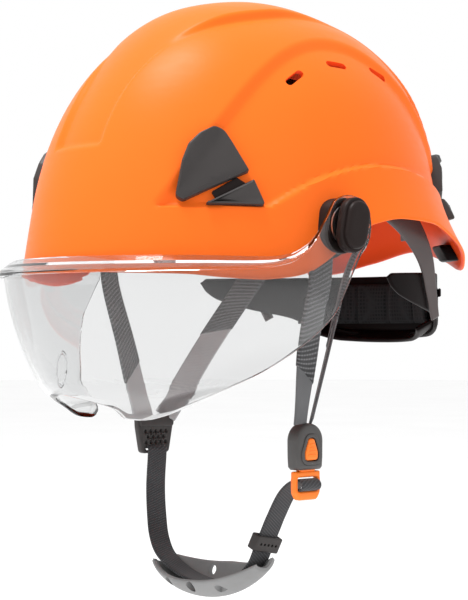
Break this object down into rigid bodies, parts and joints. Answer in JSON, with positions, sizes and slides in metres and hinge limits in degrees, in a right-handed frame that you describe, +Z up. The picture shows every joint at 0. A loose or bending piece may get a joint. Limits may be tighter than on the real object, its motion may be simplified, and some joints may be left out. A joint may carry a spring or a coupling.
{
  "type": "arborist helmet",
  "caption": "Vented climbing helmet with a tilting clear visor, lamp clips, ratchet head harness and a buckled chin strap with a cup.",
  "frame": {"origin": "at the centre of the head opening, between the ears and level with the visor pivots", "axes": "-Y to the front of the helmet, +X to the wearer's left, +Z up"},
  "size_m": [0.251, 0.301, 0.3491],
  "materials": {
    "shell_orange": "satin",
    "clip_black": "matte",
    "visor_clear": "polished",
    "steel": "brushed",
    "harness_black": "satin",
    "pad_foam": "knitted cover",
    "webbing": "woven",
    "arm_plastic": "satin",
    "buckle_orange": "satin",
    "cup_rubber": "matte"
  },
  "bodies": {
    "shell_frame": {"shell": "shell_orange", "lamp_clip_front_left": "clip_black", "lamp_clip_rear_left": "clip_black", "lamp_clip_front_right": "clip_black", "lamp_clip_rear_right": "clip_black", "visor_base_left": "clip_black", "visor_washer_left": "steel", "visor_screw_left": "steel", "visor_base_right": "clip_black", "visor_washer_right": "steel", "visor_screw_right": "steel", "headband": "harness_black", "brow_pad": "pad_foam", "rack_left": "harness_black", "rack_right": "harness_black", "anchor_front_left": "clip_black", "anchor_side_left": "clip_black", "anchor_rear_left": "clip_black", "anchor_front_right": "clip_black", "anchor_side_right": "clip_black", "anchor_rear_right": "clip_black", "crown_strap_front_left": "webbing", "crown_strap_front_right": "webbing", "crown_strap_middle": "webbing", "crown_pad": "pad_foam", "rear_arm_left": "arm_plastic", "chin_front_left": "webbing", "chin_rear_left": "webbing", "rear_arm_right": "arm_plastic", "chin_front_right": "webbing", "chin_rear_right": "webbing", "strap_divider_right": "clip_black", "buckle_housing": "clip_black", "buckle_spring": "steel"},
    "visor": {"visor": "visor_clear"},
    "knob_left": {"visor_knob_left": "clip_black"},
    "knob_right": {"visor_knob_right": "clip_black"},
    "nape": {"nape_cradle": "harness_black", "nape_pad": "pad_foam", "ratchet_cover": "harness_black", "click_spring": "steel"},
    "ratchet": {"ratchet_knob": "clip_black", "ratchet_pinion": "clip_black"},
    "button": {"buckle_button": "buckle_orange"},
    "chin": {"buckle_tongue": "buckle_orange", "chin_strap": "webbing", "chin_cup": "cup_rubber"},
    "keeper": {"slide_keeper": "clip_black"}
  },
  "joints": [
    {"name": "visor_tilt", "type": "hinge", "parent": "shell_frame", "child": "visor", "pos_m": [0, -0.004, 0.001], "axis": [-1, 0, 0], "range_deg": [0, 50]},
    {"name": "knob_left_turn", "type": "hinge", "parent": "shell_frame", "child": "knob_left", "pos_m": [0.12, -0.004, 0.001], "axis": [1, 0, 0], "range_deg": [0, 90]},
    {"name": "knob_right_turn", "type": "hinge", "parent": "shell_frame", "child": "knob_right", "pos_m": [-0.12, -0.004, 0.001], "axis": [-1, 0, 0], "range_deg": [0, 90]},
    {"name": "nape_slide", "type": "slide", "parent": "shell_frame", "child": "nape", "axis": [0, -1, 0], "range_m": [-0.008, 0.01], "deforming": ["rear_arm_left", "rear_arm_right", "rack_left", "rack_right"]},
    {"name": "ratchet_turn", "type": "hinge", "parent": "nape", "child": "ratchet", "pos_m": [0, 0.16, -0.04], "axis": [0, 1, 0], "range_deg": [-115, 115]},
    {"name": "chin_swing", "type": "hinge", "parent": "shell_frame", "child": "chin", "pos_m": [-0.0685, 0.0086, -0.1305], "axis": [0, 1, 0], "range_deg": [0, 55]},
    {"name": "button_press", "type": "slide", "parent": "shell_frame", "child": "button", "axis": [-1, 0, 0], "range_m": [0, 0.002], "stiffness_N_per_m": 800, "deforming": ["buckle_spring"]},
    {"name": "keeper_slide", "type": "slide", "parent": "chin", "child": "keeper", "axis": [0.3366, 0.1949, 0.9213], "range_m": [-0.002, 0.008]}
  ],
  "couplings": [
    {"joint": "ratchet_turn", "follows": "nape_slide", "rad_per_m": 200}
  ]
}
